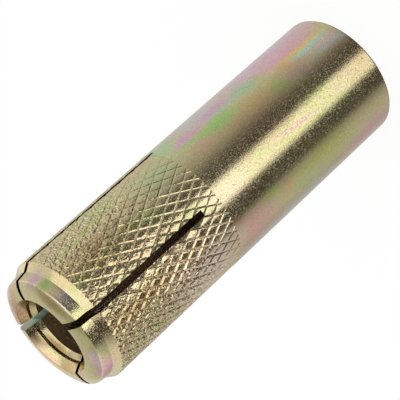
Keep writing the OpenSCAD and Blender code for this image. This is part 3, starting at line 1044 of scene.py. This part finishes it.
# %% The plug, turned
PLUG_R = 4.95
PLUG_LOW = 27.088
PLUG_LENGTH = 12.0
PLUG_NOSE = 6.0
PLUG_NOSE_R = 4.589
PLUG_NOSE_EDGE = 0.15
PLUG_EDGE = 0.4
PLUG_SEGMENTS = 128
CENTRE_MARK_R = 0.7
CENTRE_MARK_DEPTH = 0.5
plug = turned_shape("expander_plug_turned", [
    (0.0, PLUG_LOW + CENTRE_MARK_DEPTH),
    (CENTRE_MARK_R, PLUG_LOW),
    *rounded((PLUG_R - PLUG_EDGE, PLUG_LOW + PLUG_EDGE), PLUG_EDGE, -90, 0),
    (PLUG_R, PLUG_LOW + PLUG_LENGTH - PLUG_NOSE),
    (PLUG_NOSE_R, PLUG_LOW + PLUG_LENGTH - PLUG_NOSE_EDGE),
    (PLUG_NOSE_R - PLUG_NOSE_EDGE, PLUG_LOW + PLUG_LENGTH),
    (0.0, PLUG_LOW + PLUG_LENGTH),
], PLUG_SEGMENTS)
plug.data.materials.append(steel)
plug.data.shade_smooth()
plug.data.set_sharp_from_angle(angle=math.radians(SMOOTH_BELOW))
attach(plug, "root")
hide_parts("expander_plug")
print(plug.name, len(plug.data.polygons), "faces")

# %% [markdown]
# ## Floor and light
# The sleeve is a curved mirror, so what it shows is its surroundings: a tall narrow lamp near the camera,
# the dark of the room on both sides of it, and grey walls farther round. The lamp makes the bright line
# along the sleeve, and the dark the two brown bands. Two soft lamps show in the shoulder and the rim of the
# split end. The world paints these by direction, for glossy rays only. The camera sees white, and so does
# the floor, which keeps a trace of the soft shadow.

# %% White floor
REACH = 3.0
GLOW_SHARE = 0.9
floor_mesh = bpy.data.meshes.new("floor")
floor_mesh.from_pydata(
    [(-REACH, -REACH, 0.0), (REACH, -REACH, 0.0), (REACH, REACH, 0.0), (-REACH, REACH, 0.0)],
    [], [(0, 1, 2, 3)])
floor = bpy.data.objects.new("floor", floor_mesh)
bpy.context.scene.collection.objects.link(floor)
paper = bpy.data.materials.new("white_paper")
paper.use_nodes = True
tree = paper.node_tree
tree.nodes.clear()
matt = add_node(tree, "ShaderNodeBsdfDiffuse", {"Color": linear("#ffffff")}).outputs[0]
glow = add_node(tree, "ShaderNodeEmission", {"Color": linear("#ffffff"), "Strength": 1.0}).outputs[0]
seen = add_node(tree, "ShaderNodeLightPath").outputs["Is Camera Ray"]
share = add_node(tree, "ShaderNodeMath", {0: seen, 1: GLOW_SHARE}, operation="MULTIPLY").outputs[0]
white = add_node(tree, "ShaderNodeMixShader", {0: share, 1: matt, 2: glow}).outputs[0]
add_node(tree, "ShaderNodeOutputMaterial", {"Surface": white})
floor_mesh.materials.append(paper)
floor.visible_glossy = False
floor.visible_shadow = False
print("floor:", 2 * REACH, "m square")

# %% The lamps and the room, by direction
STRIP_ANGLE = 274.0
STRIP_HALF = 17.9
STRIP_SOFT = 1.0
STRIP_POWER = 1.25
# Height above the horizon in degrees, and the lamp's grey there
STRIP_HEIGHTS = [
    (-90.0, 0.1),
    (-49.0, 0.15),
    (-41.0, 1.1),
    (-12.0, 1.1),
    (-4.0, 1.5),
    (15.0, 1.5),
    (30.0, 1.0),
    (55.0, 0.8),
    (65.0, 0.3),
    (90.0, 0.3),
]
# Angle from the lamp's middle in degrees, and the grey of the room there
ROOM = [
    (-180.0, 0.52),
    (-150.0, 0.42),
    (-118.0, 0.36),
    (-98.0, 0.43),
    (-78.0, 0.44),
    (-58.0, 0.29),
    (-50.0, 0.06),
    (0.0, 0.06),
    (35.0, 0.07),
    (45.0, 0.1),
    (55.0, 0.2),
    (65.0, 0.31),
    (85.0, 0.45),
    (105.0, 0.54),
    (125.0, 0.54),
    (145.0, 0.51),
    (180.0, 0.52),
]
# Height above the horizon in degrees, and the share of the room's grey that comes from there
ROOM_HEIGHTS = [
    (-90.0, 0.1),
    (-54.0, 0.25),
    (-39.0, 1.0),
    (-14.0, 1.05),
    (-4.0, 1.6),
    (8.0, 1.6),
    (20.0, 1.2),
    (45.0, 0.95),
    (60.0, 0.9),
    (90.0, 0.6),
]
# Soft lamps: angle round the sleeve, height, half width and softness in degrees, and grey
SOFT_LAMPS = [
    (332.0, 55.0, 35.0, 4.0, 1.05),
    (174.0, 12.0, 28.0, 8.0, 0.70),
]
print("lamp at", STRIP_ANGLE, "degrees round the sleeve, and", len(SOFT_LAMPS), "soft lamps")

# %% The studio as the sleeve sees it
world = bpy.data.worlds.new("studio")
bpy.context.scene.world = world
world.use_nodes = True
tree = world.node_tree
tree.nodes.clear()
direction = add_node(tree, "ShaderNodeTexCoord").outputs["Generated"]
turned = add_node(
    tree, "ShaderNodeVectorRotate", {"Vector": direction, "Angle": -math.radians(STRIP_ANGLE)},
    rotation_type="Z_AXIS").outputs[0]
parts = add_node(tree, "ShaderNodeSeparateXYZ", {0: turned}).outputs
bearing = add_node(tree, "ShaderNodeMath", {0: parts["Y"], 1: parts["X"]}, operation="ARCTAN2").outputs[0]
away = add_node(tree, "ShaderNodeMath", {0: bearing}, operation="ABSOLUTE").outputs[0]
in_strip = add_node(
    tree, "ShaderNodeMapRange",
    {"Value": away, "From Min": math.radians(STRIP_HALF - STRIP_SOFT),
     "From Max": math.radians(STRIP_HALF + STRIP_SOFT), "To Min": 1.0, "To Max": 0.0}).outputs[0]
around = add_node(
    tree, "ShaderNodeMapRange", {"Value": bearing, "From Min": -math.pi, "From Max": math.pi}).outputs[0]
rise = add_node(tree, "ShaderNodeMath", {0: parts["Z"]}, operation="ARCSINE").outputs[0]
level = add_node(
    tree, "ShaderNodeMapRange",
    {"Value": rise, "From Min": -math.pi / 2, "From Max": math.pi / 2}).outputs[0]


def greys(place, table, span):
    """A ramp over a table of angle in degrees and grey, looked up by a place from 0 to 1 in that span."""
    stops = [(0.5 + angle / span, (grey, grey, grey, 1.0)) for angle, grey in table]
    return add_node(tree, "ShaderNodeValToRGB", {"Fac": place}, stops=stops).outputs["Color"]


room = add_node(
    tree, "ShaderNodeMix", {0: 1.0, 6: greys(around, ROOM, 360.0), 7: greys(level, ROOM_HEIGHTS, 180.0)},
    data_type="RGBA", blend_type="MULTIPLY").outputs[2]
room = add_node(
    tree, "ShaderNodeMix", {0: in_strip, 6: room, 7: greys(level, STRIP_HEIGHTS, 180.0)},
    data_type="RGBA").outputs[2]
for angle, height, reach, soft, grey in SOFT_LAMPS:
    to_lamp = Vector((
        math.cos(math.radians(height)) * math.cos(math.radians(angle)),
        math.cos(math.radians(height)) * math.sin(math.radians(angle)),
        math.sin(math.radians(height))))
    facing = add_node(
        tree, "ShaderNodeVectorMath", {0: direction, 1: to_lamp}, operation="DOT_PRODUCT").outputs["Value"]
    in_lamp = add_node(
        tree, "ShaderNodeMapRange",
        {"Value": facing, "From Min": math.cos(math.radians(reach + soft)),
         "From Max": math.cos(math.radians(reach - soft))}).outputs[0]
    room = add_node(
        tree, "ShaderNodeMix", {0: in_lamp, 6: room, 7: (grey, grey, grey, 1.0)},
        data_type="RGBA").outputs[2]
mirrored = add_node(tree, "ShaderNodeBackground", {"Color": room, "Strength": STRIP_POWER}).outputs[0]
plain_white = add_node(
    tree, "ShaderNodeBackground", {"Color": linear("#ffffff"), "Strength": 1.0}).outputs[0]
glossy = add_node(tree, "ShaderNodeLightPath").outputs["Is Glossy Ray"]
mixed = add_node(tree, "ShaderNodeMixShader", {0: glossy, 1: plain_white, 2: mirrored}).outputs[0]
add_node(tree, "ShaderNodeOutputWorld", {"Surface": mixed})
bpy.context.scene.view_settings.view_transform = "Standard"
print(world.name, "has", len(tree.nodes), "nodes")

# %% [markdown]
# ## Camera
# The picture was taken with a long lens, turned so that the sleeve lies across the frame with its split end
# at the lower left. The place, the aim and the roll come from fitting the outline of the sleeve.

# %% Camera
AIM = Vector((0.060, 0.020, 25.360)) * MM
CAMERA_DISTANCE = 194.26 * MM
CAMERA_ANGLE = -72.0
CAMERA_ELEVATION = 27.717
CAMERA_ROLL = 132.272
LENS = 153.0
SENSOR = 36.0
spin = math.radians(CAMERA_ANGLE)
lift = math.radians(CAMERA_ELEVATION)
back = Vector((math.cos(lift) * math.cos(spin), math.cos(lift) * math.sin(spin), math.sin(lift)))
lens = bpy.data.cameras.new("camera")
lens.lens = LENS
lens.sensor_width = SENSOR
camera = bpy.data.objects.new("camera", lens)
bpy.context.scene.collection.objects.link(camera)
camera.location = AIM + back * CAMERA_DISTANCE
camera.rotation_mode = "QUATERNION"
camera.rotation_quaternion = (
    back.to_track_quat("Z", "Y") @ Quaternion((0.0, 0.0, 1.0), -math.radians(CAMERA_ROLL)))
bpy.context.scene.camera = camera
print("camera at", [round(value / MM, 1) for value in camera.location], "mm")
